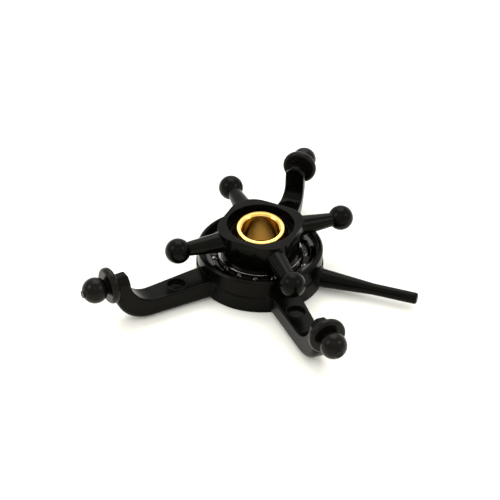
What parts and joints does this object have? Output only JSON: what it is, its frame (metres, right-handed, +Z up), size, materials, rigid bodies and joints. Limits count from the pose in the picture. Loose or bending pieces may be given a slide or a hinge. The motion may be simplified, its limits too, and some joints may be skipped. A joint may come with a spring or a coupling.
{
  "type": "helicopter swashplate",
  "caption": "Helicopter swashplate: a still outer ring with ball-stud arms and an anti-rotation pin, and a turning star with link balls on an open ball bearing round a brass pivot ball.",
  "frame": {"origin": "centre of the pivot ball, on the main shaft's axis", "axes": "+Z up the shaft of an untilted plate, +Y along the short elevator arm, +X along the anti-rotation pin"},
  "size_m": [0.0395, 0.0416, 0.009],
  "materials": {
    "moulded_plastic": "black glass-filled nylon, smooth moulded surface with a soft shine",
    "stud_metal": "turned and black anodised, glossy",
    "bearing_steel": "ground bearing steel",
    "ball_steel": "polished chrome steel",
    "cage_plastic": "dark brown moulded nylon",
    "retainer_metal": "turned and black anodised",
    "brass": "turned brass, bright with fine tool marks"
  },
  "bodies": {
    "outer": {"outer_ring": "moulded_plastic", "elevator_ball_stud": "stud_metal", "left_ball_stud": "stud_metal", "right_ball_stud": "stud_metal", "bearing_outer_race": "bearing_steel"},
    "star": {"star": "moulded_plastic", "bearing_inner_race": "bearing_steel", "ball_retainer": "retainer_metal"},
    "cage": {"bearing_cage": "cage_plastic", "bearing_ball_01": "ball_steel", "bearing_ball_02": "ball_steel", "bearing_ball_03": "ball_steel", "bearing_ball_04": "ball_steel", "bearing_ball_05": "ball_steel", "bearing_ball_06": "ball_steel", "bearing_ball_07": "ball_steel", "bearing_ball_08": "ball_steel", "bearing_ball_09": "ball_steel", "bearing_ball_10": "ball_steel", "bearing_ball_11": "ball_steel", "bearing_ball_12": "ball_steel", "bearing_ball_13": "ball_steel", "bearing_ball_14": "ball_steel"},
    "pivot": {"pivot_ball": "brass"}
  },
  "joints": [
    {"name": "star_spin", "type": "hinge", "parent": "outer", "child": "star", "pos_m": [0, 0, 0], "axis": [0, 0, 1], "continuous": true},
    {"name": "cage_spin", "type": "hinge", "parent": "outer", "child": "cage", "pos_m": [0, 0, 0], "axis": [0, 0, 1], "continuous": true},
    {"name": "pivot_tilt", "type": "hinge", "parent": "star", "child": "pivot", "pos_m": [0, 0, 0], "axis": [0.9494, 0.314, 0], "range_deg": [-22, 8]}
  ],
  "couplings": [
    {"joint": "cage_spin", "follows": "star_spin", "ratio": 0.4365}
  ]
}
